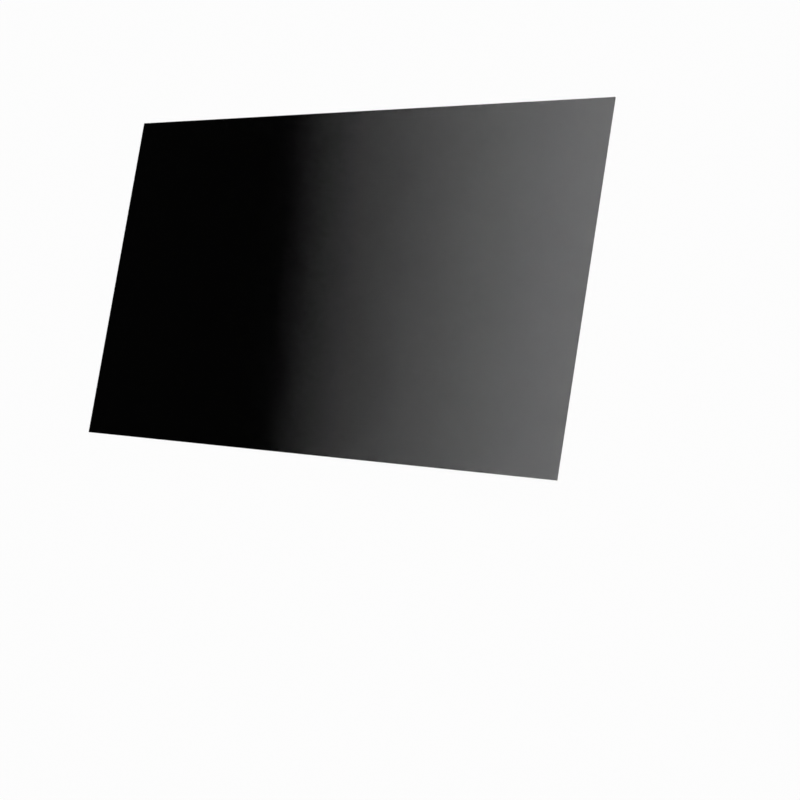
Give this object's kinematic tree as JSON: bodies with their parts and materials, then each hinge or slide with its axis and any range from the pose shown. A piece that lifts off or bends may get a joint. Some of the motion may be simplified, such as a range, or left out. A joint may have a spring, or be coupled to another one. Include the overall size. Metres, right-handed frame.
{
  "type": "monitor privacy filter",
  "caption": "Thin, flat rectangular sheet of dark see-through film that lies over a monitor screen and turns it black when seen from the side.",
  "frame": {"origin": "centre of the back face, the face that goes against the screen; the sheet lies flat on it", "axes": "+X across the screen, +Y up the screen, +Z out of the front face, towards the viewer"},
  "size_m": [0.531, 0.299, 0.0005],
  "materials": {
    "privacy_film": "smooth, low-glare, near black"
  },
  "bodies": {
    "root": {"filter_sheet": "privacy_film"}
  },
  "joints": []
}
